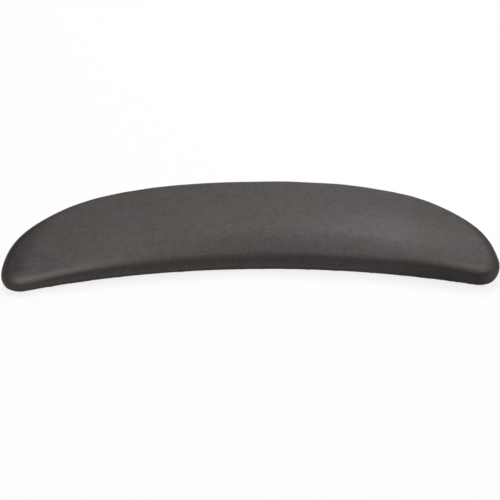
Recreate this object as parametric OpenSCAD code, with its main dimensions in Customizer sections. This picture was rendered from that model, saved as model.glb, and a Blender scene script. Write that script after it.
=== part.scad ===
// Crescent armrest pad for an office chair.
// A soft moulded urethane pad grips a ribbed nylon insert, and a steel
// mounting plate with four weld nuts is screwed into the insert's underside.
// X runs along the pad, +Y points to its bulging outer edge and +Z is up.
// The origin is the centre of the bolt pattern, on the mounting face.

/* [Pad outline] */
// Full width of the outer curve; the tips' corners take about 1 off it
pad_l = 291; // [280:1:300]
// Rise of the outer curve above the line through the tips
outer_rise = 88; // [85:0.5:92]
// Squareness of the outer curve: 2 is an ellipse, more is boxier
outer_n = 2.64; // [2.4:0.01:2.8]
// Hollow of the inner edge above the line through the tips
inner_sag = 19.5; // [16:0.5:21]
// Corner radius of the tips, seen from above
tip_r = 12; // [10.5:0.5:12.5]
// Distance of the bolt pattern from the line through the tips
mount_y = 51; // [50:0.5:52]

/* [Pad section] */
// Height of the crown above the mounting face
pad_h = 20.5; // [20:0.5:22]
// Fall of the top from the crown to the tips
tip_drop = 6; // [4:0.5:6]
// Radius of the crown across the pad
crown_r = 220; // [200:10:600]
// Width of the round-over along the outer edge
outer_round_w = 8; // [6:0.5:9]
// Height of the round-over along the outer edge
outer_round_h = 6; // [5:0.5:6]
// Radius of the round-over along the inner edge
inner_round = 3.5; // [3:0.1:4]
// Extra reach of the wide roll that leads down to the inner edge
roll_w = 15; // [10:0.5:16]
// How far the wide roll falls
roll_h = 5.4; // [3:0.1:5.6]
// How much further the roll falls in the middle of the pad
sag_h = 1.7; // [0:0.1:2]
// How far the top leans down to the inner edge at the -X end
low_lean = 5.7; // [4:0.1:6.5]
// How much further it leans at the -X tip
tip_lean = 1.9; // [0:0.1:2]
// How far the top leans down to the inner edge at the +X end
high_lean = 2.8; // [1:0.1:4]
// Height of the widest line
belt_z = 7; // [6:0.5:7]
// How far the side tucks in below the widest line
tuck = 3; // [2.5:0.5:3.5]
// Thickness of the skin
skin_t = 1.5; // [1:0.1:1.6]
// Distance from the widest line to the inner rim of the skin's flange
flange_in = 8; // [7.5:0.5:8]

/* [Insert] */
// Gap between the mounting face and the underside of pad and insert
base_z = 0.5; // [0.3:0.1:0.8]
// Overall height of the insert's tray
tray_h = 5; // [4.5:0.5:6]
// Thickness of the tray's web
web_t = 2; // [1.5:0.5:2.5]
// Thickness of the tray's rim
rim_t = 2; // [1.5:0.5:2]
// How far the rim's lip reaches out over the skin's flange
lip_w = 3; // [2:0.5:3]
// Thickness of the stiffening ribs
rib_t = 1.4; // [1:0.1:2]
// Distance between ribs
rib_pitch = 13; // [11:0.5:13.5]
// Diameter of the holes that the foam keys into
key_d = 5; // [4:0.5:6]

/* [Mounting plate] */
// Length of the steel plate
plate_l = 136; // [132:1:138]
// Width of the steel plate
plate_w = 36; // [34:1:37]
// Thickness of the steel plate
plate_t = 2.5; // [2:0.5:2.5]
// Corner radius of the steel plate
plate_r = 10; // [8:0.5:12]
// Bolt spacing along the pad
bolt_x = 100; // [96:1:102]
// Bolt spacing across the pad
bolt_y = 20; // [18:0.5:20]
// Bore of the weld nuts, drawn at the thread's minor diameter
nut_bore_d = 5; // [4:0.1:5.5]
// Width of the weld nuts across flats
nut_af = 10; // [10:0.5:11]

/* [Hidden] */

SKIN_COLOUR = [0.33, 0.31, 0.31];
FOAM_COLOUR = [0.42, 0.41, 0.39];
NYLON_COLOUR = [0.12, 0.12, 0.13];
ZINC_COLOUR = [0.75, 0.76, 0.78];
STEEL_COLOUR = [0.62, 0.63, 0.65];
BRASS_COLOUR = [0.80, 0.66, 0.36];
BLACK_STEEL_COLOUR = [0.20, 0.20, 0.21];

// Mesh of the moulded surfaces
tip_steps = 7;                          // steps round each tip corner
hollow_steps = 32;                      // steps along the inner edge
half_n = hollow_steps + 2*tip_steps;    // steps from pole to pole
ring_n = 2*half_n;                      // points in a ring
roll_steps = 3;                         // steps down the roll
round_steps = 5;                        // steps over the round-over
tuck_steps = 5;                         // steps round the tuck
cap_steps = 6;                          // steps across the top

half_l = pad_l/2;
flange_z = base_z + skin_t;             // top of the skin's flange
web_top = base_z + tray_h;
web_low = web_top - web_t;
lip_t = 2;
hollow_half = 0.97*half_l;              // where the inner arc meets the tips' line
hollow_r = (pow(hollow_half, 2) + pow(inner_sag, 2))/(2*inner_sag);
hollow_c = [0, inner_sag - hollow_r];
round_margin = 1.5;                     // the side starts this far inside the round-over
roll_in = [-95, -10];                     // X over which the roll swells
roll_out = [50, 150];                   // X over which the roll fades out
sag_run = 38;                           // X over which the extra fall fades out
low_lean_from = 20;                     // X where the lean to the -X end starts
low_lean_run = 120;
tip_lean_from = -98;                    // X where the extra lean of the -X tip starts
tip_lean_run = 30;
high_lean_from = 90;                    // X where the lean to the +X end starts
high_lean_run = 45;
lean_spread = 0.985;                    // keeps the lean clear of the outer edge at the tips
wall_min = 0.6;                         // least height of the upright part of the side

// Fasteners
nut_h = 5;
nut_pilot_d = 8;
nut_pocket_d = 13;
nut_pocket_top = plate_t + nut_h + 0.5;
nut_tower_d = 17;
nut_tower_top = nut_pocket_top + 1.5;
screw_xs = [-62, -25, 25, 62];
screw_head_d = 8;
screw_head_h = 2.1;
screw_d = 3.55;                         // M4 drawn at its pitch diameter
screw_end = 9;
screw_clear_d = 4.5;                    // hole in the steel plate
socket_af = 2.5;
socket_depth = 1.4;
sink_gap = 0.1;                         // head lies this far below the plate's face
insert_d = 5.6;
insert_h = 6;
insert_bore_d = 3.6;
boss_d = 10;
boss_bore_top = 9.5;
boss_top = boss_bore_top + 1.5;
eps = 0.01;

// ---- Outline: lists of [x, y, normal x, normal y], with y from the tips' line

function outer_point(q) = let (
        u = abs(cos(q)),
        y = outer_rise*pow(1 - pow(u, outer_n), 1/outer_n),
        gx = sign(cos(q))*pow(u, outer_n - 1)/half_l,
        gy = pow(y/outer_rise, outer_n - 1)/outer_rise,
        g = norm([gx, gy])
    ) [half_l*cos(q), y, gx/g, gy/g];

function arc_point(c, r, a, side = 1) =
    [c.x + r*cos(a), c.y + r*sin(a), side*cos(a), side*sin(a)];

// A tip corner touches the outer curve at angle q, and the inner arc
function tip_centre(q) = let (p = outer_point(q)) [p[0] - tip_r*p[2], p[1] - tip_r*p[3]];
function tip_gap(q) = norm(tip_centre(q) - hollow_c) - hollow_r - tip_r;
function tip_angle(lo = 0.5, hi = 30, n = 30) = let (mid = (lo + hi)/2)
    n == 0 ? mid : tip_gap(mid) < 0 ? tip_angle(mid, hi, n - 1) : tip_angle(lo, mid, n - 1);

tip_q = tip_angle();
tip_c = tip_centre(tip_q);
tip_from = atan2(outer_point(tip_q)[3], outer_point(tip_q)[2]);
hollow_a = atan2(tip_c.y - hollow_c.y, tip_c.x - hollow_c.x);
tip_to = hollow_a - 180;

// Counter-clockwise from the right pole, where the outer curve meets a tip corner
rim = [
    for (i = [0:half_n]) outer_point(tip_q + (180 - 2*tip_q)*i/half_n),
    for (i = [1:tip_steps]) arc_point([-tip_c.x, tip_c.y], tip_r,
        180 - tip_from + (tip_from - tip_to)*i/tip_steps),
    for (i = [1:hollow_steps]) arc_point(hollow_c, hollow_r,
        180 - hollow_a - (180 - 2*hollow_a)*i/hollow_steps, -1),
    for (i = [1:tip_steps - 1]) arc_point(tip_c, tip_r, tip_to + (tip_from - tip_to)*i/tip_steps)
];

// Half the pad's width at each rim point, measured to the point facing it
half_w = [for (k = [0:ring_n - 1])
    let (a = rim[k], b = rim[(ring_n - k) % ring_n]) norm([a[0] - b[0], a[1] - b[1]])/2];

function inset_xy(p, inset) = [p[0] - inset*p[2], p[1] - inset*p[3] - mount_y];
function outline(inset) = [for (p = rim) inset_xy(p, inset)];

// ---- Section

function mix(a, b, t) = a + (b - a)*t;
function ease(t) = let (c = min(1, max(0, t))) c*c*(3 - 2*c);
function along(x, run) = ease((x - run[0])/(run[1] - run[0]));
function outward(p) = (p[3] + 1)/2;     // 0 on the inner edge, 1 on the outer edge
function corner_w(p) = mix(inner_round, outer_round_w, outward(p));
function corner_h(p) = mix(inner_round, outer_round_h, outward(p));
function roll_share(p) = along(p[0], roll_in)*(1 - along(p[0], roll_out))*(1 - outward(p));
function sag_share(p) = (1 - ease(abs(p[0])/sag_run))*(1 - outward(p));
function side_w(p) = corner_w(p) + round_margin + roll_w*sqrt(roll_share(p));
function top_z(x, off) = pad_h - tip_drop*pow(x/half_l, 2) - off*off/(2*crown_r);

function outer_y(x) = outer_rise*pow(1 - pow(abs(x)/half_l, outer_n), 1/outer_n);
function hollow_y(x) = hollow_c.y + sqrt(pow(hollow_r, 2) - x*x);

// How far the top falls at a point because it leans down to the inner edge
function lean(x) = low_lean*ease((low_lean_from - x)/low_lean_run)
    + tip_lean*ease((tip_lean_from - x)/tip_lean_run)
    + high_lean*ease((x - high_lean_from)/high_lean_run);
function lean_drop(p) = let (far = outer_y(lean_spread*p.x))
    lean(p.x)*max(0, far - p.y - mount_y)/(far - hollow_y(p.x));

// A point of the upper side, d inside the wall. Depth is the distance under the
// outer surface: 0 outside, skin_t on the inside.
function side_point(k, d, depth) = let (
        p = rim[k],
        xy = inset_xy(p, depth + d),
        top = top_z(xy.x, max(0, half_w[k] - depth - d)) - lean_drop(xy),
        fall = roll_h*roll_share(p) + sag_h*sag_share(p),
        roll = fall*pow(1 - min(1, (depth + d)/side_w(p)), 2),
        t = 1 - min(1, d/(corner_w(p) - depth))
    ) [xy.x, xy.y, top - depth - roll - (corner_h(p) - depth)*(1 - sqrt(1 - t*t))];
function roll_ring(i, depth) = [for (k = [0:ring_n - 1])
    side_point(k, mix(side_w(rim[k]), corner_w(rim[k]), i/roll_steps) - depth, depth)];
function round_ring(a, depth) = [for (k = [0:ring_n - 1])
    side_point(k, (corner_w(rim[k]) - depth)*(1 - cos(a)), depth)];

// The widest line lies at belt_z, or lower where the round-over comes down to it
wall_low = round_ring(0, 0);
function belt(k) = min(belt_z, wall_low[k].z - wall_min);
function tuck_ring(a, depth) = [for (k = [0:ring_n - 1])
    let (xy = inset_xy(rim[k], depth + (tuck - depth)*(1 - cos(a))))
    [xy.x, xy.y, base_z + depth + (belt(k) - base_z - depth)*(1 - sin(a))]];
function flat_ring(inset, z) = [for (p = rim) let (xy = inset_xy(p, inset)) [xy.x, xy.y, z]];

function side_rings(depth) = [
    for (i = [0:roll_steps - 1]) roll_ring(i, depth),
    for (i = [0:round_steps]) round_ring(90 - 90*i/round_steps, depth),
    for (i = [0:tuck_steps]) tuck_ring(90*i/tuck_steps, depth)
];

// Points that fill the area inside a ring, row by row from the right pole
function cap_points(ring, rise) = [
    for (i = [1:half_n - 1])
        for (c = [1:cap_steps - 1]) let (
            t = c/cap_steps,
            p = mix(ring[ring_n - i], ring[i], t),
            span = norm(ring[ring_n - i] - ring[i]),
            fall = mix(lean_drop(ring[ring_n - i]), lean_drop(ring[i]), t) - lean_drop(p),
            lift = rise ? t*(1 - t)*pow(span, 2)/(2*crown_r) + fall : 0
        ) [p.x, p.y, p.z + lift]
];

// ---- Faces

function flipped(f, flip) = flip ? [f[0], f[2], f[1]] : f;
function ring_faces(a, b) = [
    for (k = [0:ring_n - 1]) let (n = (k + 1) % ring_n)
        each [[a + k, b + n, b + k], [a + k, a + n, b + n]]
];
function cap_index(i, c, edge, inside) =
    i == 0 ? edge : i == half_n ? edge + half_n
    : c == 0 ? edge + ring_n - i : c == cap_steps ? edge + i
    : inside + (i - 1)*(cap_steps - 1) + c - 1;
function cap_faces(edge, inside, flip) = [
    for (i = [0:half_n - 1])
        for (c = [0:cap_steps - 1]) let (
            p = cap_index(i, c, edge, inside),
            q = cap_index(i, c + 1, edge, inside),
            r = cap_index(i + 1, c + 1, edge, inside),
            s = cap_index(i + 1, c, edge, inside)
        ) each [
            if (p != q) flipped([p, q, r], flip),
            if (r != s) flipped([p, r, s], flip)
        ]
];
function flat(rings) = [for (r = rings) each r];

// A closed body from a stack of rings, closed at its first and last ring
module ring_body(rings, rise_last) {
    last = (len(rings) - 1)*ring_n;
    first_cap = len(rings)*ring_n;
    last_cap = first_cap + (half_n - 1)*(cap_steps - 1);
    polyhedron(
        points = [
            each flat(rings),
            each cap_points(rings[0], true),
            each cap_points(rings[len(rings) - 1], rise_last)
        ],
        faces = [
            for (r = [0:len(rings) - 2]) each ring_faces(r*ring_n, (r + 1)*ring_n),
            each cap_faces(0, first_cap, true),
            each cap_faces(last, last_cap, false)
        ],
        convexity = 6
    );
}

// ---- Shared flat shapes

module outline_2d(inset) {
    polygon(outline(inset));
}

module rounded_rect(l, w, r) {
    square([l - 2*r, w], center = true);
    square([l, w - 2*r], center = true);
    for (x = [-1, 1], y = [-1, 1])
        translate([x*(l/2 - r), y*(w/2 - r)]) circle(r, $fn = 64);
}

module layer(z0, z1) {
    translate([0, 0, z0]) linear_extrude(z1 - z0) children();
}

module rod(d, z0, z1, $fn = 64) {
    translate([0, 0, z0]) cylinder(d = d, h = z1 - z0);
}

module at_bolts() {
    for (x = [-1, 1], y = [-1, 1]) translate([x*bolt_x/2, y*bolt_y/2]) children();
}

module at_screws() {
    for (x = screw_xs) translate([x, 0]) children();
}

// Key holes lie along the middle of each wing, where its cross ribs meet the long rib
seat_margin = 6;                        // solid nylon past each end of the plate
key_first = plate_l/2 + seat_margin + 0.6*rib_pitch;
key_count = 4;
collar_t = 2;                           // wall round each key hole
function middle_y(x) = (outer_y(x) + hollow_y(x))/2 - mount_y;
module at_keys() {
    for (side = [-1, 1], i = [0:key_count - 1])
        let (x = side*(key_first + i*rib_pitch)) translate([x, middle_y(x)]) children();
}

// ---- Parts

module pad_skin() {
    color(SKIN_COLOUR)
    ring_body([
        each side_rings(0),
        flat_ring(flange_in, base_z),
        flat_ring(flange_in, flange_z),
        for (i = [0:tuck_steps]) tuck_ring(90 - 90*i/tuck_steps, skin_t),
        for (i = [0:round_steps]) round_ring(90*i/round_steps, skin_t),
        for (i = [roll_steps - 1:-1:0]) roll_ring(i, skin_t)
    ], true);
}

// Fills the skin down to the insert, whose stepped edge its lower rings follow
module foam_core() {
    lip_in = flange_in - lip_w;
    color(FOAM_COLOUR)
    difference() {
        union() {
            ring_body([
                each side_rings(skin_t),
                flat_ring(lip_in, flange_z),
                flat_ring(lip_in, flange_z + lip_t),
                flat_ring(flange_in, flange_z + lip_t),
                flat_ring(flange_in, web_top)
            ], false);
            at_keys() rod(key_d, base_z, web_top + 1);
        }
        at_bolts() rod(nut_tower_d, web_top - 1, nut_tower_top);
        at_screws() rod(boss_d, web_top - 1, boss_top);
    }
}

module insert_plate() {
    color(NYLON_COLOUR)
    difference() {
        union() {
            layer(base_z, web_top) outline_2d(flange_in);
            layer(flange_z, flange_z + lip_t) outline_2d(flange_in - lip_w);
            at_bolts() rod(nut_tower_d, web_low, nut_tower_top);
            at_screws() rod(boss_d, web_low, boss_top);
        }
        layer(base_z - 1, web_low) wing_pockets_2d();
        layer(base_z - 1, plate_t) rounded_rect(plate_l + 0.4, plate_w + 0.4, plate_r + 0.2);
        at_bolts() rod(nut_pocket_d, plate_t - 1, nut_pocket_top);
        at_screws() rod(insert_d, plate_t - 1, boss_bore_top);
        at_keys() rod(key_d, base_z - 1, web_top + 1);
    }
}

// Cells between the ribs of both wings
module wing_pockets_2d() {
    difference() {
        outline_2d(flange_in + rim_t);
        square([plate_l + 2*seat_margin, 4*plate_w], center = true);
        at_keys() {
            square([rib_t, 4*plate_w], center = true);
            circle(d = key_d + 2*collar_t, $fn = 48);
        }
        for (side = [-1, 1]) long_rib_2d(side);
    }
}

// Follows the middle of a wing from the plate to the tip
module long_rib_2d(side) {
    steps = 16;
    xs = [for (i = [0:steps]) side*mix(plate_l/2, 0.97*half_l, i/steps)];
    polygon([
        for (x = xs) [x, middle_y(x) - rib_t/2],
        for (i = [steps:-1:0]) [xs[i], middle_y(xs[i]) + rib_t/2]
    ]);
}

module mounting_plate() {
    color(ZINC_COLOUR)
    difference() {
        layer(0, plate_t) rounded_rect(plate_l, plate_w, plate_r);
        at_bolts() rod(nut_pilot_d, -1, plate_t + 1);
        at_screws() {
            rod(screw_clear_d, -1, plate_t + 1);
            translate([0, 0, -eps]) cylinder(d1 = screw_head_d + 0.2, d2 = screw_clear_d,
                h = screw_head_h, $fn = 64);
        }
    }
}

module weld_nuts() {
    color(STEEL_COLOUR)
    at_bolts() difference() {
        union() {
            rod(nut_pilot_d, 0, plate_t + 1);
            hex_body();
        }
        rod(nut_bore_d, -1, plate_t + nut_h + 1);
    }
}

// Hexagon with its corners chamfered at the free end
module hex_body() {
    corner_d = nut_af/cos(30);
    intersection() {
        translate([0, 0, plate_t]) cylinder(d = corner_d, h = nut_h, $fn = 6);
        union() {
            rod(corner_d + 1, plate_t, plate_t + nut_h - 0.8);
            translate([0, 0, plate_t + nut_h - 0.8])
                cylinder(d1 = corner_d + 1, d2 = nut_af - 0.6, h = 0.8 + eps, $fn = 64);
        }
    }
}

module screw_inserts() {
    groove = 0.4;
    color(BRASS_COLOUR)
    at_screws() difference() {
        rod(insert_d, plate_t, plate_t + insert_h);
        rod(insert_bore_d, plate_t - 1, plate_t + insert_h + 1);
        for (z = [1.8, 3.8]) difference() {
            rod(insert_d + 1, plate_t + z, plate_t + z + 0.8);
            rod(insert_d - 2*groove, plate_t + z - 1, plate_t + z + 2);
        }
    }
}

module plate_screws() {
    tip_h = 0.6;
    head_top = sink_gap + screw_head_h;
    color(BLACK_STEEL_COLOUR)
    at_screws() difference() {
        rotate_extrude($fn = 64) polygon([
            [0, sink_gap], [screw_head_d/2 - 0.1, sink_gap],
            [screw_d/2, head_top - 0.1], [screw_d/2, screw_end - tip_h],
            [screw_d/2 - tip_h, screw_end], [0, screw_end]
        ]);
        translate([0, 0, sink_gap - 1])
            cylinder(d = socket_af/cos(30), h = 1 + socket_depth, $fn = 6);
    }
}

pad_skin();
foam_core();
insert_plate();
mounting_plate();
weld_nuts();
screw_inserts();
plate_screws();
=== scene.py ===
import math

import bmesh
import bpy
import numpy as np
from mathutils import Matrix, Vector


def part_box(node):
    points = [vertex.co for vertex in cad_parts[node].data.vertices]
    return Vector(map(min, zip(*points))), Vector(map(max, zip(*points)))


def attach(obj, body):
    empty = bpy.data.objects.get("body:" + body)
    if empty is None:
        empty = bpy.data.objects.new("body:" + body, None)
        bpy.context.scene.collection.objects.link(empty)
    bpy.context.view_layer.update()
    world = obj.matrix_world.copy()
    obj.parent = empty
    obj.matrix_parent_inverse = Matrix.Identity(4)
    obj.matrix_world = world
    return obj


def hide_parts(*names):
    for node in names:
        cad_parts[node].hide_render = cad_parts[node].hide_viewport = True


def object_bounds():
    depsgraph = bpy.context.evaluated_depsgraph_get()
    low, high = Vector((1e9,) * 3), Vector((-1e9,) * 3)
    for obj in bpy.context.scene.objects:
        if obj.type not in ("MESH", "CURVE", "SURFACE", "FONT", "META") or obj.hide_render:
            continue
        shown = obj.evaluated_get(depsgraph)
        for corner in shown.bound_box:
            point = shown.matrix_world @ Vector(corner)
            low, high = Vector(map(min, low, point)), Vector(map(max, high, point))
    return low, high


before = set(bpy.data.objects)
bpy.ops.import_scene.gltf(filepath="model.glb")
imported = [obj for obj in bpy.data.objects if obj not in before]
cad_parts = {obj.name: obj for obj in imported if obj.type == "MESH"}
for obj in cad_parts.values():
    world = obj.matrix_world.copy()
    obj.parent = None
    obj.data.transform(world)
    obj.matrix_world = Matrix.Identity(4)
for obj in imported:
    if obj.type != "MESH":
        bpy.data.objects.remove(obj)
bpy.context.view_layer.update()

MM = 0.001

# ---- Pad section, in mm in the CAD frame: the same formulas as the CAD solid

PAD_L = 291.0               # full width of the outer curve
OUTER_RISE = 88.0           # its height above the tips' line
OUTER_N = 2.64              # and its squareness: 2 is an ellipse, more is boxier
INNER_SAG = 19.5            # height of the inner arc above the tips' line
HOLLOW_SHARE = 0.97         # share of the half length where the inner arc meets the tips' line
TIP_R = 12.0
MOUNT_Y = 51.0              # distance of the bolt pattern from the tips' line
PAD_H = 20.5
TIP_DROP = 6.0              # fall of the top from the crown to the tips
CROWN_R = 220.0             # radius of the crown across the pad
OUTER_ROUND = (8.0, 6.0)    # width and height of the round-over along the outer edge
INNER_ROUND = (3.5, 3.5)    # and along the inner edge
ROUND_MARGIN = 1.5          # the side's first ring lies this far inside the round-over
ROLL_W = 15.0               # the inner edge's wide roll: its extra reach, and how far it falls
ROLL_H = 5.4
ROLL_IN = (-95.0, -10.0)    # X over which the roll swells, and over which it fades out
ROLL_OUT = (50.0, 150.0)
SAG_H = 1.7                 # how much further the roll falls in the middle of the pad
SAG_RUN = 38.0              # X over which that extra fall fades out
LOW_LEAN = 5.7              # how far the top leans down to the inner edge at the -X end
LOW_LEAN_RUN = (-20.0, 100.0)   # distance towards that end over which it grows
TIP_LEAN = 1.9              # how much further it leans at the -X tip
TIP_LEAN_RUN = (98.0, 128.0)
HIGH_LEAN = 2.8             # how far it leans at the +X end
HIGH_LEAN_RUN = (90.0, 135.0)
LEAN_SPREAD = 0.985         # keeps the lean clear of the outer edge at the tips
BELT_Z = 7.0                # height of the side's widest line
WALL_MIN = 0.6              # least height of the upright part of the side
TUCK = 3.0                  # how far the side tucks in below its widest line
BASE_Z = 0.5                # height of the pad's underside above the mounting face
SKIN_T = 1.5
FLANGE_IN = 8.0             # how far in the skin's flange reaches, under the foam
LIP_W = 3.0                 # the insert's lip, which reaches out over the flange
LIP_T = 2.0
TRAY_TOP = 5.5              # top of the insert
FIT_GAP = 0.05              # clearance between touching soft bodies
CHAMFER = 0.25              # on the flange's lower corner

KEY_FROM, KEY_PITCH = 81.8, 13.0    # the key holes' distances from the middle and each other
KEY_XS = [side * (KEY_FROM + KEY_PITCH * i) for side in (-1, 1) for i in range(4)]
PLUG_R = 2.46
PLUG_SINK = 0.15            # how far a plug's face stays above the pad's underside
PLUG_RISE = 0.04            # how far a plug runs up into the foam body
PLUG_SIDES = 40
PLUG_FACE = [               # radius as a share of the plug's, and height above its lowest ring
    (0, 0.25), (0.5, 0.15), (0.8, 0), (0.95, 0.1), (1, 0.4)]

# ---- Unevenness and wear of the skin, and light and shade painted into its colour, in mm; a pair is where it starts and where it's full

WAVINESS = [(0.10, 45, 3), (0.03, 14, 4)]           # height, feature size and seed
WAVY_Z = (1.0, 6.0)                                 # the waviness starts low on the side
LINE_Z, LINE_W, LINE_H = 1.6, 0.3, 0.16             # the mould line's place, width and height
LINE_RAGGED = [(0.5, 9, 5), (0.35, 2.5, 6)]         # its unevenness, like WAVINESS
FOLD_FACING = (0.25, 0.6)       # a fold wears, and at the far -X end takes a painted highlight, where its normal's Z is at least this
TOP_FACING = (0.8, 0.98)        # and no more than this
FOLD_WEAR = 0.12
NOSE_HIGHLIGHT, NOSE_X = 0.5, (134, 143)                 # extra painted highlight on folds at the far -X end
RIDGE_IN, RIDGE_W = 2.4, 2.4    # the ridge's painted highlight: distance in from the inner edge, and width
RIDGE_FACING = (0.35, 0.75)
RIDGE_LOW_X = (60, 115)         # the distances towards each tip over which the ridge's painted highlight grows
RIDGE_HIGH_X = (105, 135)
RIDGE_HIGH = 0.45               # painted highlight at the +X tip, where the -X tip has 1
RUBBED_X, RUBBED_L = 90.0, 42.0     # the polished crest of the roll, and its reach
RUBBED_IN, RUBBED_W = 24.0, 13.0
BAND_Z, BAND_W = 4.8, 1.3           # the band of painted floor-bounce light round the side
BAND_OUT = (50, 100)                # X over which it fades out
# painted shade near both tips and on the +X end's side
LOW_SHADE = (112, 132), (8, 20), 0.7     # X towards the tip, distance inwards, and strength
HIGH_SHADE = (105, 135), (2, 9), 0.75
SIDE_SHADE = (70, 120), (0, 3), 0.5
TIP_SHADE, TIP_SHADE_X = 0.3, (108, 142)  # a fainter layer of painted shade all over the -X tip
UNSHADED_RIM = (-1, 5)             # distances from the outer edge over which the -X painted shade sets in
UNSHADED_RIDGE = (3, 12)           # and from the inner edge, for both tips

# ---- Mesh density

RIM_N = 640                 # points round the pad
DENSE_N = 24000             # points on the exact outline before it is resampled
HALVINGS = 50               # of the range of angles in the search for the tip's corner
ROLL_STEPS = 12
ROUND_STEPS = 14
TUCK_STEPS = 22
HIDDEN_STEPS = (4, 5, 6)    # the same three, on faces that stay hidden
CAP_STEPS = 44
HALF_N = RIM_N // 2
RELAX_PASSES = 6
RELAX_STRENGTH = 0.5
WAVE_COUNT = 24             # sine waves in one layer of noise


def lerp(a, b, t):
    return a + (b - a) * t


def smoothstep(x, low, high):
    t = np.clip((x - low) / (high - low), 0, 1)
    return t * t * (3 - 2 * t)


def bell(x, centre, width):
    return np.exp(-((x - centre) / width) ** 2)


# ---- Outline

def outer_point(q):
    """Points and outward normals on the outer curve at angles q, in radians."""
    half = PAD_L / 2
    u = np.abs(np.cos(q))
    y = OUTER_RISE * (1 - u ** OUTER_N) ** (1 / OUTER_N)
    n = np.stack([np.sign(np.cos(q)) * u ** (OUTER_N - 1) / half,
                  (y / OUTER_RISE) ** (OUTER_N - 1) / OUTER_RISE], -1)
    return (np.stack([half * np.cos(q), y], -1),
            n / np.linalg.norm(n, axis=-1, keepdims=True))


def hollow_circle():
    """Centre and radius of the inner edge's arc."""
    half = HOLLOW_SHARE * PAD_L / 2
    r = (half ** 2 + INNER_SAG ** 2) / (2 * INNER_SAG)
    return np.array([0, INNER_SAG - r]), r


def tip_corner():
    """Angle on the outer curve where the tip's corner starts, and the corner's centre."""
    centre, r = hollow_circle()
    low, high = np.radians(0.5), np.radians(30)
    for _ in range(HALVINGS):
        q = (low + high) / 2
        p, n = outer_point(q)
        c = p - TIP_R * n
        if np.linalg.norm(c - centre) < r + TIP_R:
            low = q
        else:
            high = q
    return q, c


def arc(centre, r, start, end, count, side=1):
    """Points on an arc and their normals, which point in where side is -1."""
    a = np.linspace(start, end, count)
    n = np.stack([np.cos(a), np.sin(a)], -1)
    return centre + r * n, side * n


def dense_outline():
    """The closed outline, counter-clockwise from the middle of the right tip."""
    q, tip = tip_corner()
    centre, r = hollow_circle()
    n = outer_point(q)[1]
    start = math.atan2(n[1], n[0])
    meet = math.atan2(*(tip - centre)[::-1])
    end = meet - math.pi
    middle = (start + end) / 2
    part = DENSE_N // 8
    left = tip * [-1, 1]
    runs = [
        arc(tip, TIP_R, middle, start, part),
        outer_point(np.linspace(q, math.pi - q, 3 * part)),
        arc(left, TIP_R, math.pi - start, math.pi - end, 2 * part),
        arc(centre, r, math.pi - meet, meet, 3 * part, -1),
        arc(tip, TIP_R, end, middle, part),
    ]
    return [np.concatenate([run[i][:-1] for run in runs]) for i in (0, 1)]


def rim():
    """Evenly spaced points and normals on the outline. Point k faces point RIM_N - k."""
    p, n = dense_outline()
    step = np.linalg.norm(np.roll(p, -1, 0) - p, axis=1)
    along = np.concatenate([[0], np.cumsum(step)])
    p, n = np.vstack([p, p[:1]]), np.vstack([n, n[:1]])
    left = along[pole_index(p)]
    outer = np.linspace(0, left, HALF_N + 1)[:-1]
    inner = np.linspace(left, along[-1], HALF_N + 1)[:-1]
    at = np.concatenate([outer, inner])
    pts = np.stack([np.interp(at, along, p[:, i]) for i in (0, 1)], -1)
    nrm = np.stack([np.interp(at, along, n[:, i]) for i in (0, 1)], -1)
    return pts, nrm / np.linalg.norm(nrm, axis=1, keepdims=True)


def pole_index(p):
    """The left tip's middle is the mirror image of the right tip's, the first point."""
    return int(np.argmin(np.linalg.norm(p - p[0] * [-1, 1], axis=1)))


RIM, NORMAL = rim()
FACING = (RIM_N - np.arange(RIM_N)) % RIM_N
HALF_W = np.linalg.norm(RIM - RIM[FACING], axis=1) / 2


# ---- Section

OUTWARD = (NORMAL[:, 1] + 1) / 2        # 0 on the inner edge, 1 on the outer edge
ROUND_W, ROUND_H = (lerp(INNER_ROUND[i], OUTER_ROUND[i], OUTWARD) for i in (0, 1))
ROLL = (smoothstep(RIM[:, 0], *ROLL_IN) * (1 - smoothstep(RIM[:, 0], *ROLL_OUT))
        * (1 - OUTWARD))
SAG = (1 - smoothstep(np.abs(RIM[:, 0]), 0, SAG_RUN)) * (1 - OUTWARD)
FALL = ROLL_H * ROLL + SAG_H * SAG      # how far the wide roll falls at each point of the rim
SIDE_W = ROUND_W + ROUND_MARGIN + ROLL_W * np.sqrt(ROLL)


def ring(inset, z):
    """A ring of points in the CAD frame, inset from the outline."""
    xy = RIM - NORMAL * np.broadcast_to(inset, RIM_N)[:, None] - [0, MOUNT_Y]
    return np.column_stack([xy, np.broadcast_to(z, RIM_N)])


def outer_y(x):
    return OUTER_RISE * (1 - (np.abs(x) / (PAD_L / 2)) ** OUTER_N) ** (1 / OUTER_N)


def hollow_y(x):
    centre, r = hollow_circle()
    return centre[1] + np.sqrt(r ** 2 - x ** 2)


def lean_drop(points):
    """How far the top falls at these points because it leans down to the inner edge."""
    x, y = points[..., 0], points[..., 1] + MOUNT_Y
    lean = (LOW_LEAN * smoothstep(-x, *LOW_LEAN_RUN)
            + TIP_LEAN * smoothstep(-x, *TIP_LEAN_RUN)
            + HIGH_LEAN * smoothstep(x, *HIGH_LEAN_RUN))
    far = outer_y(LEAN_SPREAD * x)
    return lean * np.clip((far - y) / (far - hollow_y(x)), 0, None)


def top_z(x, off):
    return PAD_H - TIP_DROP * (x / (PAD_L / 2)) ** 2 - off ** 2 / (2 * CROWN_R)


def side_ring(d, depth=0.0):
    """A ring of the upper side, d inside the wall: the roll and the round-over."""
    points = ring(depth + d, 0)
    top = top_z(points[:, 0], np.maximum(0, HALF_W - depth - d)) - lean_drop(points)
    roll = FALL * (1 - np.minimum(1, (d + depth) / SIDE_W)) ** 2
    t = 1 - np.minimum(1, d / (ROUND_W - depth))
    corner = (ROUND_H - depth) * (1 - np.sqrt(1 - t ** 2))
    points[:, 2] = top - depth - roll - corner
    return points


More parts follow.
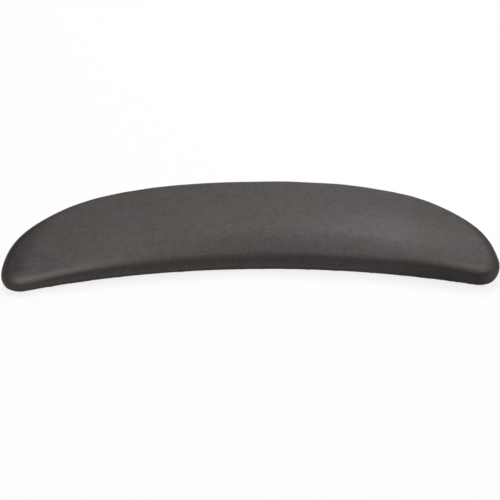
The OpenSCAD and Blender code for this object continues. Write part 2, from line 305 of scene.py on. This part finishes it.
def upper_rings(depth, roll_steps, round_steps):
    """Rings from the top down to the wall, closer together over the round-over."""
    start = SIDE_W - depth
    corner = ROUND_W - depth
    roll = [side_ring(lerp(start, corner, k / roll_steps), depth) for k in range(roll_steps)]
    angles = np.linspace(math.pi / 2, 0, round_steps + 1)
    return roll + [side_ring(corner * (1 - math.cos(a)), depth) for a in angles]


def tuck_ring(a, depth):
    """A ring below the widest line, at angle a of the quarter ellipse that tucks it in."""
    inset = depth + (TUCK - depth) * (1 - math.cos(a))
    belt = np.minimum(BELT_Z, side_ring(0)[:, 2] - WALL_MIN)
    return ring(inset, BASE_Z + depth + (belt - BASE_Z - depth) * (1 - math.sin(a)))


def side_rings(depth, roll_steps, round_steps, tuck_steps):
    """Rings from the top to the underside, at the given depth under the skin's surface."""
    return upper_rings(depth, roll_steps, round_steps) + [
        tuck_ring(a, depth) for a in np.linspace(0, math.pi / 2, tuck_steps + 1)]


# ---- Mesh

def cap_points(edge, crowned):
    """Rows of points across a ring, without the ring itself."""
    i = np.arange(1, HALF_N)
    a, b = edge[RIM_N - i], edge[i]
    span = np.linalg.norm(b - a, axis=1)
    t = np.arange(1, CAP_STEPS)[None, :, None] / CAP_STEPS
    points = lerp(a[:, None], b[:, None], t)
    if crowned:
        points[:, :, 2] += (t * (1 - t))[:, :, 0] * span[:, None] ** 2 / (2 * CROWN_R)
        ends = lean_drop(a)[:, None], lean_drop(b)[:, None]
        points[:, :, 2] += lerp(*ends, t[:, :, 0]) - lean_drop(points)
    return points.reshape(-1, 3)


def cap_faces(edge, inside):
    def index(i, c):
        if i in (0, HALF_N):
            return edge + i
        if c in (0, CAP_STEPS):
            return edge + (i if c else RIM_N - i)
        return inside + (i - 1) * (CAP_STEPS - 1) + c - 1

    for i in range(HALF_N):
        for c in range(CAP_STEPS):
            face = [index(i, c), index(i, c + 1), index(i + 1, c + 1), index(i + 1, c)]
            yield list(dict.fromkeys(face))


def ring_faces(a, b):
    for k in range(RIM_N):
        n = (k + 1) % RIM_N
        yield [a + k, b + k, b + n, a + n]


def shell(rings, crowned_last):
    """Points and faces of a closed body from a stack of rings, capped at both ends."""
    count = len(rings)
    first, last = cap_points(rings[0], True), cap_points(rings[-1], crowned_last)
    points = np.vstack([*rings, first, last])
    faces = [f for r in range(count - 1) for f in ring_faces(r * RIM_N, (r + 1) * RIM_N)]
    faces += cap_faces(0, count * RIM_N)
    faces += cap_faces((count - 1) * RIM_N, count * RIM_N + len(first))
    return points, faces


def to_object(name, points, faces):
    """A mesh object in metres, with its normals facing out."""
    mesh = bpy.data.meshes.new(name)
    mesh.from_pydata([tuple(p) for p in points * MM], [], faces)
    bm = bmesh.new()
    bm.from_mesh(mesh)
    bmesh.ops.recalc_face_normals(bm, faces=bm.faces)
    bm.to_mesh(mesh)
    bm.free()
    mesh.shade_smooth()
    obj = bpy.data.objects.new(name, mesh)
    bpy.context.scene.collection.objects.link(obj)
    return obj


def relaxed(points, faces, free):
    """Laplacian smoothing of the points marked free."""
    edges = np.array(sorted({tuple(sorted((f[i], f[i - 1]))) for f in faces for i in range(len(f))}))
    a, b = edges[:, 0], edges[:, 1]
    count = np.bincount(edges.ravel(), minlength=len(points))[:, None]
    for _ in range(RELAX_PASSES):
        total = np.zeros_like(points)
        np.add.at(total, a, points[b])
        np.add.at(total, b, points[a])
        moved = lerp(points, total / count, RELAX_STRENGTH)
        points = np.where(free[:, None], moved, points)
    return points


def waves(points, size, seed):
    """Smooth seeded noise of about unit height, with features of the given size in mm."""
    rng = np.random.default_rng(seed)
    direction = rng.normal(size=(WAVE_COUNT, 3))
    direction /= np.linalg.norm(direction, axis=1, keepdims=True)
    rate = 2 * math.pi / size * rng.uniform(0.6, 1.4, WAVE_COUNT)
    phase = rng.uniform(0, 2 * math.pi, WAVE_COUNT)
    heights = np.sin(points @ (direction * rate[:, None]).T + phase)
    return heights.sum(1) / math.sqrt(WAVE_COUNT / 2)


def layered_waves(points, layers):
    return sum(height * waves(points, size, seed) for height, size, seed in layers)


def set_attribute(obj, name, values):
    layer = obj.data.attributes.new(name, "FLOAT", "POINT")
    layer.data.foreach_set("value", values.astype(np.float32))


def vertex_normals(obj):
    out = np.zeros(len(obj.data.vertices) * 3, np.float32)
    obj.data.vertex_normals.foreach_get("vector", out)
    return out.reshape(-1, 3).astype(float)


def fitted(points, node):
    """Points stretched to the CAD node's box, which they already match closely."""
    low, high = (np.array(c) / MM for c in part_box(node))
    at, size = points.min(0), np.ptp(points, axis=0)
    return low + (points - at) / size * (high - low)


def build_skin():
    """The outer skin, from the crown down the side, in under the pad and back up inside."""
    outer = side_rings(0, ROLL_STEPS, ROUND_STEPS, TUCK_STEPS)
    rim_in = FLANGE_IN - FIT_GAP
    turned = [ring(lerp(TUCK, FLANGE_IN, 0.5), BASE_Z), ring(rim_in - CHAMFER, BASE_Z),
              ring(rim_in, BASE_Z + CHAMFER), ring(rim_in, BASE_Z + SKIN_T)]
    inner = side_rings(SKIN_T, *HIDDEN_STEPS)[::-1]
    rings = outer + turned + inner
    points, faces = shell(rings, True)
    index, cap = np.arange(len(points)), len(rings) * RIM_N
    top_cap = (index >= cap) & (index < cap + (HALF_N - 1) * (CAP_STEPS - 1))
    upper = (index < (ROLL_STEPS + ROUND_STEPS + 1) * RIM_N) | top_cap
    points = fitted(relaxed(points, faces, upper), "pad_skin")
    skin = to_object("pad_skin_soft", points, faces)
    shape_skin(skin, points, index < len(outer) * RIM_N, top_cap)
    return skin


def shape_skin(skin, points, side, top_cap):
    """Slow waviness of the moulding, the ragged mould line low on the side, and the marks: wear with
    painted highlights, polish, painted shade, and the mould line with a band of painted floor-bounce
    light.
    """
    normal = vertex_normals(skin)
    outside = side | top_cap
    height = layered_waves(points, WAVINESS) * outside * smoothstep(points[:, 2], *WAVY_Z)
    line = bell(points[:, 2], LINE_Z, LINE_W) * side
    ragged = 0.5 + layered_waves(points, LINE_RAGGED)
    height += LINE_H * line * np.clip(ragged, 0, 1.5)
    points = points + normal * height[:, None]
    skin.data.vertices.foreach_set("co", (points * MM).astype(np.float32).ravel())
    # wear carries painted ridge highlights, soiling is painted shade, and the scuffs are the mould
    # line with a band of painted floor-bounce light
    for name, values in (("wear_and_highlight", wear_and_highlight_on(points, normal)), ("rubbed", rubbed_on(points)),
                         ("painted_shade", painted_shade_on(points)), ("line_and_bounce_light", line_and_bounce_on(points, line))):
        set_attribute(skin, name, values * outside)
    skin.data.update()


def hollow_distance(points):
    """Distance in from the inner edge's arc, in plan."""
    centre, r = hollow_circle()
    return np.linalg.norm(points[:, :2] + [0, MOUNT_Y] - centre, axis=1) - r


def wear_and_highlight_on(points, normal):
    """Rubbed folds: light wear on every fold. A painted highlight on the folds at the far -X end,
    and a strong painted highlight on the inner ridge near the tips."""
    x, facing = points[:, 0], normal[:, 2]
    fold = smoothstep(facing, *FOLD_FACING) * (1 - smoothstep(facing, *TOP_FACING))
    tips = smoothstep(-x, *RIDGE_LOW_X) + RIDGE_HIGH * smoothstep(x, *RIDGE_HIGH_X)
    ridge = bell(hollow_distance(points), RIDGE_IN, RIDGE_W)
    ridge = ridge * tips * smoothstep(facing, *RIDGE_FACING)
    return np.clip((FOLD_WEAR + NOSE_HIGHLIGHT * smoothstep(-x, *NOSE_X)) * fold + ridge, 0, 1)


def rubbed_on(points):
    """The crest of the wide roll, polished where a forearm slides over it."""
    crest = bell(hollow_distance(points), RUBBED_IN, RUBBED_W)
    return crest * bell(points[:, 0], RUBBED_X, RUBBED_L)


def outer_distance(points):
    """Roughly the distance in from the outer curve, in plan."""
    x, y = np.abs(points[:, 0]) / (PAD_L / 2), (points[:, 1] + MOUNT_Y) / OUTER_RISE
    level = (x ** OUTER_N + np.clip(y, 0, None) ** OUTER_N) ** (1 / OUTER_N)
    return PAD_L / 2 * (1 - level)


def shade_patch(x, distance, spread):
    """Painted shade that grows towards a tip and fades out with distance from an edge."""
    along, inwards, strength = spread
    return strength * smoothstep(x, *along) * (1 - smoothstep(distance, *inwards))


def painted_shade_on(points):
    """Painted shade: both tips darken along the outer edge, the -X one also all over. The +X end's
    side too.
    """
    x, outer, inner = points[:, 0], outer_distance(points), hollow_distance(points)
    low = shade_patch(-x, outer, LOW_SHADE) + TIP_SHADE * smoothstep(-x, *TIP_SHADE_X)
    low = low * smoothstep(outer, *UNSHADED_RIM)
    tips = (low + shade_patch(x, outer, HIGH_SHADE)) * smoothstep(inner, *UNSHADED_RIDGE)
    return tips + shade_patch(x, inner, SIDE_SHADE)


def line_and_bounce_on(points, line):
    """The mould line, and a band of painted floor-bounce light round the side's belly that ends
    before the +X tip.
    """
    band = bell(points[:, 2], BAND_Z, BAND_W) * (1 - smoothstep(points[:, 0], *BAND_OUT))
    return np.maximum(line, band)


def lathe(profile, x, y):
    """A closed body turned round a vertical line: profile is (radius, z), bottom to top."""
    turn = np.arange(PLUG_SIDES) * 2 * math.pi / PLUG_SIDES
    ends = [(x, y, profile[0][1]), (x, y, profile[-1][1])]
    rings = [np.column_stack([x + r * np.cos(turn), y + r * np.sin(turn), np.full(PLUG_SIDES, z)])
             for r, z in profile[1:-1]]
    points = np.vstack([*rings, ends])
    low, high = len(points) - 2, len(points) - 1
    last = low - PLUG_SIDES
    faces = []
    for k in range(PLUG_SIDES):
        n = (k + 1) % PLUG_SIDES
        faces += [[low, n, k], [high, last + k, last + n]]
        for r in range(0, last, PLUG_SIDES):
            faces.append([r + k, r + n, r + PLUG_SIDES + n, r + PLUG_SIDES + k])
    return points, faces


def foam_plug(x):
    """Foam that has flowed into a key hole and set with a slightly shrunken face."""
    low, high = BASE_Z + PLUG_SINK, TRAY_TOP + PLUG_RISE
    profile = [(share * PLUG_R, low + rise) for share, rise in PLUG_FACE]
    profile += [(PLUG_R, high), (0, high)]
    return lathe(profile, x, (outer_y(x) + hollow_y(x)) / 2 - MOUNT_Y)


def build_foam():
    """Foam body inside the skin, and the foam that has flowed into the insert's key holes."""
    depth = SKIN_T + FIT_GAP
    lip_in, rim_in = FLANGE_IN - LIP_W - FIT_GAP, FLANGE_IN - FIT_GAP
    lip_low = BASE_Z + depth
    lip_high = lip_low + LIP_T
    rings = side_rings(depth, *HIDDEN_STEPS)
    rings += [ring(lip_in, lip_low), ring(lip_in, lip_high),
              ring(rim_in, lip_high), ring(rim_in, TRAY_TOP + FIT_GAP)]
    points, faces = shell(rings, False)
    for x in KEY_XS:
        plug, plug_faces = foam_plug(x)
        faces += [[len(points) + k for k in face] for face in plug_faces]
        points = np.vstack([points, plug])
    return to_object("foam_core_soft", points, faces)


# ---- Node materials

def add(tree, kind, props=None, inputs=None):
    """A shader node with its properties, and its inputs set or linked."""
    node = tree.nodes.new(kind)
    for key, value in (props or {}).items():
        setattr(node, key, value)
    for key, value in (inputs or {}).items():
        if isinstance(value, bpy.types.NodeSocket):
            tree.links.new(value, node.inputs[key])
        else:
            node.inputs[key].default_value = value
    return node


def new_material(name):
    mat = bpy.data.materials.new(name)
    mat.use_nodes = True
    tree = mat.node_tree
    tree.nodes.clear()
    shader = add(tree, "ShaderNodeBsdfPrincipled")
    add(tree, "ShaderNodeOutputMaterial", None, {"Surface": shader.outputs[0]})
    coord = add(tree, "ShaderNodeTexCoord").outputs["Object"]
    return mat, tree, shader, coord


def stretched(tree, coord, scale):
    return add(tree, "ShaderNodeMapping", None, {"Vector": coord, "Scale": scale}).outputs[0]


def noise(tree, coord, size_mm, detail=2.0, roughness=0.5):
    return add(tree, "ShaderNodeTexNoise", None, {
        "Vector": coord, "Scale": 1 / (size_mm * MM), "Detail": detail,
        "Roughness": roughness}).outputs["Fac"]


def cells(tree, coord, size_mm, smooth=True):
    return add(tree, "ShaderNodeTexVoronoi", {"feature": "SMOOTH_F1" if smooth else "F1"}, {
        "Vector": coord, "Scale": 1 / (size_mm * MM)}).outputs["Distance"]


def remap(tree, value, from_low, from_high, low, high):
    return add(tree, "ShaderNodeMapRange", None, {
        0: value, 1: from_low, 2: from_high, 3: low, 4: high}).outputs[0]


def maths(tree, operation, a, b):
    return add(tree, "ShaderNodeMath", {"operation": operation}, {0: a, 1: b}).outputs[0]


def blend(tree, fac, a, b, mode="MIX"):
    node = add(tree, "ShaderNodeMix", {"data_type": "RGBA", "blend_type": mode},
               {0: fac, 6: a, 7: b})
    return node.outputs[2]


def bump(tree, height, depth_mm, strength, normal=None):
    inputs = {"Height": height, "Distance": depth_mm * MM, "Strength": strength}
    if normal is not None:
        inputs["Normal"] = normal
    return add(tree, "ShaderNodeBump", None, inputs).outputs[0]


def layered(tree, colour, layers):
    """The colour with the (factor, colour) layers blended over it in turn."""
    for fac, over in layers:
        colour = blend(tree, fac, colour, over)
    return colour


def times(tree, a, b):
    return maths(tree, "MULTIPLY", a, b)


def minus(tree, a, b):
    return maths(tree, "SUBTRACT", a, b)


def attribute(tree, name):
    return add(tree, "ShaderNodeAttribute", {"attribute_name": name}).outputs["Fac"]


def soft_edges(tree, radius_mm):
    """A normal that rounds edges off in the shading alone."""
    return add(tree, "ShaderNodeBevel", {"samples": 6}, {"Radius": radius_mm * MM}).outputs[0]


def put(shader, tree, **inputs):
    """Set or link the shader's inputs, with underscores for the spaces in their names."""
    for key, value in inputs.items():
        socket = shader.inputs[key.replace("_", " ")]
        if isinstance(value, bpy.types.NodeSocket):
            tree.links.new(value, socket)
        else:
            socket.default_value = value


URETHANE = (0.0425, 0.0332, 0.0303, 1)
URETHANE_WARM = (0.0475, 0.0352, 0.0310, 1)
URETHANE_COOL = (0.0365, 0.0315, 0.0305, 1)
# the pale tone lightens grain, streaks and wear, and also paints highlights and floor-bounce light;
# the dark tone adds mottle, pores and painted shade
URETHANE_WORN_AND_LIT = (0.1000, 0.0830, 0.0760, 1)
URETHANE_DARK = (0.0200, 0.0165, 0.0152, 1)
SHADE_AMOUNT, LINE_AND_BOUNCE = 0.85, 0.32            # how far the painted shade, and the mould line with the painted bounce light, take the colour over
WEAR_GLOSS, RUBBED_GLOSS = 0.10, 0.16   # how much smoother wear makes the skin, on the folds with painted highlights and on the rubbed crest


def urethane_colour(tree, coord, mottle, grain, pores):
    """Warm and cool charcoal, mottled and grained, then painted shade, wear with painted highlights,
    and the mould line with painted floor-bounce light.
    """
    blotch = noise(tree, coord, 28, 3, 0.55)
    streaks = noise(tree, stretched(tree, coord, (0.18, 1, 1)), 2.4, 3, 0.6)
    worn_and_highlit = times(tree, attribute(tree, "wear_and_highlight"), remap(tree, mottle, 0.3, 0.7, 0.35, 0.75))
    return layered(tree, URETHANE_WARM, [
        (remap(tree, blotch, 0.35, 0.65, 0, 1), URETHANE_COOL),
        (0.35, URETHANE),
        (remap(tree, mottle, 0.38, 0.62, 0, 0.42), URETHANE_DARK),
        (remap(tree, streaks, 0.45, 0.70, 0, 0.07), URETHANE_WORN_AND_LIT),
        (remap(tree, grain, 0.50, 0.70, 0, 0.50), URETHANE_WORN_AND_LIT),
        (remap(tree, pores, 0.0, 0.25, 0.35, 0), URETHANE_DARK),
        # painted shade, wear with painted highlights, and the mould line with a band of painted
        # floor-bounce light
        (times(tree, attribute(tree, "painted_shade"), SHADE_AMOUNT), URETHANE_DARK),
        (worn_and_highlit, URETHANE_WORN_AND_LIT),
        (times(tree, attribute(tree, "line_and_bounce_light"), LINE_AND_BOUNCE), URETHANE_WORN_AND_LIT)])


def urethane():
    """Matt charcoal urethane with fine moulded grain, smoother where it's rubbed."""
    mat, tree, shader, coord = new_material("urethane")
    mottle = noise(tree, coord, 3.6, 4, 0.7)
    grain = noise(tree, coord, 0.8, 3, 0.7)
    pores = cells(tree, coord, 0.9)
    rough = remap(tree, mottle, 0.3, 0.7, 0.56, 0.66)
    for mark, gloss in (("wear_and_highlight", WEAR_GLOSS), ("rubbed", RUBBED_GLOSS)):
        rough = minus(tree, rough, times(tree, attribute(tree, mark), gloss))
    normal = bump(tree, grain, 0.10, 0.55)
    normal = bump(tree, pores, 0.12, 0.4, normal)
    normal = bump(tree, mottle, 0.20, 0.35, normal)
    put(shader, tree, Base_Color=urethane_colour(tree, coord, mottle, grain, pores),
        Roughness=rough, Normal=normal, Sheen_Weight=0.03, Sheen_Roughness=0.5,
        # less specular where shade is painted
        Specular_IOR_Level=remap(tree, attribute(tree, "painted_shade"), 0, 1, 0.5, 0.25))
    return mat


FOAM = (0.15, 0.145, 0.135, 1)
FOAM_CELL = (0.05, 0.048, 0.045, 1)
FOAM_AGED = (0.19, 0.17, 0.14, 1)


def foam():
    """Open cells, a little lighter than the skin."""
    mat, tree, shader, coord = new_material("foam")
    cell = cells(tree, coord, 0.6, False)
    tone = noise(tree, coord, 4, 3)
    colour = layered(tree, FOAM, [
        (remap(tree, cell, 0.1, 0.6, 1, 0), FOAM_CELL),
        (remap(tree, tone, 0.3, 0.7, 0, 0.3), FOAM_AGED)])
    put(shader, tree, Base_Color=colour, Roughness=0.9, Normal=bump(tree, cell, 0.3, 0.8))
    return mat


NYLON = (0.014, 0.014, 0.015, 1)
NYLON_FIBRE = (0.06, 0.06, 0.062, 1)
NYLON_FLOW = (0.03, 0.03, 0.033, 1)
NYLON_EDGE = 0.3            # radius of its edges in mm
METAL_EDGE = 0.15


def nylon():
    """Black glass-filled nylon: matt, with faint pale fibres and flow marks."""
    mat, tree, shader, coord = new_material("nylon")
    fibres = noise(tree, stretched(tree, coord, (0.25, 1, 1)), 0.5, 3, 0.7)
    flow = noise(tree, stretched(tree, coord, (0.3, 1, 1)), 18, 4, 0.6)
    colour = layered(tree, NYLON, [
        (remap(tree, fibres, 0.58, 0.75, 0, 0.5), NYLON_FIBRE),
        (remap(tree, flow, 0.4, 0.7, 0, 0.35), NYLON_FLOW)])
    put(shader, tree, Base_Color=colour, Roughness=remap(tree, flow, 0.3, 0.7, 0.42, 0.58),
        Normal=bump(tree, fibres, 0.06, 0.5, soft_edges(tree, NYLON_EDGE)))
    return mat


def metal(name, light, dark, rough, streak):
    """Metal with rolling streaks, stains and fine scratches."""
    mat, tree, shader, coord = new_material(name)
    streaks = noise(tree, stretched(tree, coord, streak), 2.0, 4, 0.65)
    stain = noise(tree, coord, 12, 4, 0.6)
    scratch = noise(tree, stretched(tree, coord, (0.05, 1, 1)), 0.4, 2, 0.5)
    colour = layered(tree, dark, [
        (remap(tree, streaks, 0.3, 0.7, 0, 1), light),
        (remap(tree, stain, 0.5, 0.75, 0, 0.4), dark)])
    put(shader, tree, Base_Color=colour, Metallic=1.0,
        Roughness=remap(tree, stain, 0.3, 0.7, rough - 0.06, rough + 0.10),
        Normal=bump(tree, scratch, 0.02, 0.35, soft_edges(tree, METAL_EDGE)))
    return mat


def mixed_shader(tree, fac, a, b):
    return add(tree, "ShaderNodeMixShader", None, {0: fac, 1: a, 2: b}).outputs[0]


def floor_material(name, window):
    """Pale and matt, and clear from below. The window also lets light up to the underside."""
    mat, tree, shader, coord = new_material(name)
    tone = noise(tree, coord, 400, 2)
    rays = add(tree, "ShaderNodeLightPath").outputs
    camera_ray = rays["Is Camera Ray"]
    shade = remap(tree, camera_ray, 0, 1, FLOOR_BOUNCE, 1)
    colour = blend(tree, tone, *FLOOR_TONES)
    colour = blend(tree, 1, colour, shade, "MULTIPLY")
    put(shader, tree, Base_Color=colour, Roughness=0.9, Specular_IOR_Level=0.2)
    glow = add(tree, "ShaderNodeEmission", None, {"Color": WHITE, "Strength": BACKDROP})
    glowing = times(tree, camera_ray, FLOOR_GLOW)
    pale = mixed_shader(tree, glowing, shader.outputs[0], glow.outputs[0])
    clear = add(tree, "ShaderNodeBsdfTransparent").outputs[0]
    fade = add(tree, "ShaderNodeNewGeometry").outputs["Backfacing"]
    if window:
        fade = maths(tree, "MAXIMUM", fade, minus(tree, 1, camera_ray))
    surface = tree.nodes["Material Output"].inputs["Surface"]
    tree.links.new(mixed_shader(tree, fade, pale, clear), surface)
    return mat


def dress(obj, mat):
    obj.data.materials.clear()
    obj.data.materials.append(mat)


METALS = {                  # node: material, light and dark colour, roughness, streak's stretch
    "mounting_plate": (
        "zinc_plate", (0.62, 0.63, 0.66, 1), (0.42, 0.43, 0.45, 1), 0.34, (0.12, 1, 1)),
    "weld_nuts": (
        "nut_steel", (0.50, 0.50, 0.51, 1), (0.28, 0.28, 0.29, 1), 0.38, (1, 1, 1)),
    "screw_inserts": (
        "brass", (0.78, 0.57, 0.27, 1), (0.50, 0.34, 0.14, 1), 0.32, (1, 1, 1)),
    "plate_screws": (
        "black_steel", (0.09, 0.09, 0.095, 1), (0.03, 0.03, 0.032, 1), 0.36, (1, 1, 1)),
}


def dress_hardware():
    dress(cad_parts["insert_plate"], nylon())
    for node, look in METALS.items():
        dress(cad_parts[node], metal(*look))


# ---- Studio

AIM = Vector((0.00014, -0.01103, 0))
CAMERA_DISTANCE = 0.9
CAMERA_ELEVATION = 40.0
CAMERA_AZIMUTH = 0.35
CAMERA_ROLL = -0.98
CAMERA_LENS = 108.6
SENSOR_WIDTH = 36
SOFTBOX_SIZE = 0.55
SOFTBOX_DISTANCE = 1.4
ROOM_LIGHT = 0.02
UNDER_LIGHT = 1.0           # reaches only the underside, through the floor's window
WHITE = (1, 1, 1, 1)
BACKDROP = 1.0              # brightness of the backdrop, as the camera sees it
FLOOR_R = 6.0
FLOOR_DROP = 0.0001         # clearance under the pad, in m
WINDOW_IN = 1.5             # the window's edge lies this far inside the pad's, in mm
FLOOR_TONES = (0.90, 0.90, 0.90, 1), (0.94, 0.94, 0.94, 1)
FLOOR_GLOW = 0.8            # share of the floor's look that doesn't depend on the light
FLOOR_BOUNCE = 0.78         # how much of its paleness the floor throws back onto the pad
SOFTBOXES = [               # name, azimuth, elevation, power in watts
    ("back", 180, 62, 8.8),
    ("back_right", 150, 40, 2.0),
    ("back_low", 171, 20, 1.6),
    ("front", 0, 60, 6.0),
    ("right", 90, 40, 4.1),
    ("top_left", 270, 75, 3.7),
]


def away(azimuth, elevation):
    """Direction away from the pad; azimuth 0 is towards the camera's side, 90 to its right."""
    a, e = math.radians(azimuth), math.radians(elevation)
    return Vector((math.sin(a) * math.cos(e), -math.cos(a) * math.cos(e), math.sin(e)))


def make_camera():
    roll = math.radians(CAMERA_ROLL)
    back = away(CAMERA_AZIMUTH, CAMERA_ELEVATION)
    level = (-back).cross(Vector((0, 0, 1))).normalized()
    rise = level.cross(-back)
    right = level * math.cos(roll) + rise * math.sin(roll)
    up = rise * math.cos(roll) - level * math.sin(roll)
    data = bpy.data.cameras.new("camera")
    data.lens = CAMERA_LENS
    data.sensor_width = SENSOR_WIDTH
    camera = bpy.data.objects.new("camera", data)
    camera.matrix_world = Matrix.Translation(AIM + back * CAMERA_DISTANCE) @ Matrix(
        (right, up, back)).transposed().to_4x4()
    bpy.context.scene.collection.objects.link(camera)
    bpy.context.scene.camera = camera


def softbox(name, azimuth, elevation, power):
    """A square softbox facing the pad."""
    data = bpy.data.lights.new(name, "AREA")
    data.size = SOFTBOX_SIZE
    data.energy = power
    light = bpy.data.objects.new(name, data)
    back = away(azimuth, elevation)
    light.location = AIM + back * SOFTBOX_DISTANCE
    light.rotation_euler = (-back).to_track_quat("-Z", "Y").to_euler()
    bpy.context.scene.collection.objects.link(light)


def make_floor():
    """A pale disc with a window under the pad, hidden by the pad from every view above."""
    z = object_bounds()[0].z - FLOOR_DROP
    inner = ring(WINDOW_IN, 0)[:, :2] * MM
    outer = inner / np.linalg.norm(inner, axis=1, keepdims=True) * FLOOR_R
    points = [(x, y, z) for x, y in np.vstack([inner, outer])]
    faces = [(k, k + RIM_N, (k + 1) % RIM_N + RIM_N, (k + 1) % RIM_N) for k in range(RIM_N)]
    mesh = bpy.data.meshes.new("floor")
    mesh.from_pydata(points, [], faces + [tuple(range(RIM_N))])
    mesh.materials.append(floor_material("pale_floor", False))
    mesh.materials.append(floor_material("floor_window", True))
    mesh.polygons[RIM_N].material_index = 1
    floor = bpy.data.objects.new("floor", mesh)
    bpy.context.scene.collection.objects.link(floor)


def make_world():
    """A dim room, bright under the floor, seen by the camera as a plain pale backdrop."""
    world = bpy.data.worlds.new("studio")
    world.use_nodes = True
    tree = world.node_tree
    tree.nodes.clear()
    camera_ray = add(tree, "ShaderNodeLightPath").outputs["Is Camera Ray"]
    ray = add(tree, "ShaderNodeTexCoord").outputs["Generated"]
    height = add(tree, "ShaderNodeSeparateXYZ", None, {0: ray}).outputs["Z"]
    under = maths(tree, "LESS_THAN", height, 0.0)
    room = remap(tree, under, 0, 1, ROOM_LIGHT, UNDER_LIGHT)
    strength = remap(tree, camera_ray, 0, 1, room, BACKDROP)
    background = add(tree, "ShaderNodeBackground", None, {"Color": WHITE, "Strength": strength})
    add(tree, "ShaderNodeOutputWorld", None, {"Surface": background.outputs[0]})
    bpy.context.scene.world = world


def make_studio():
    make_floor()
    make_world()
    for name, azimuth, elevation, power in SOFTBOXES:
        softbox(name, azimuth, elevation, power)
    make_camera()
    bpy.context.scene.view_settings.view_transform = "Standard"


skin = build_skin()
dress(skin, urethane())
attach(skin, "root")
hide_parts("pad_skin")

core = build_foam()
dress(core, foam())
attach(core, "root")
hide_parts("foam_core")

dress_hardware()
make_studio()
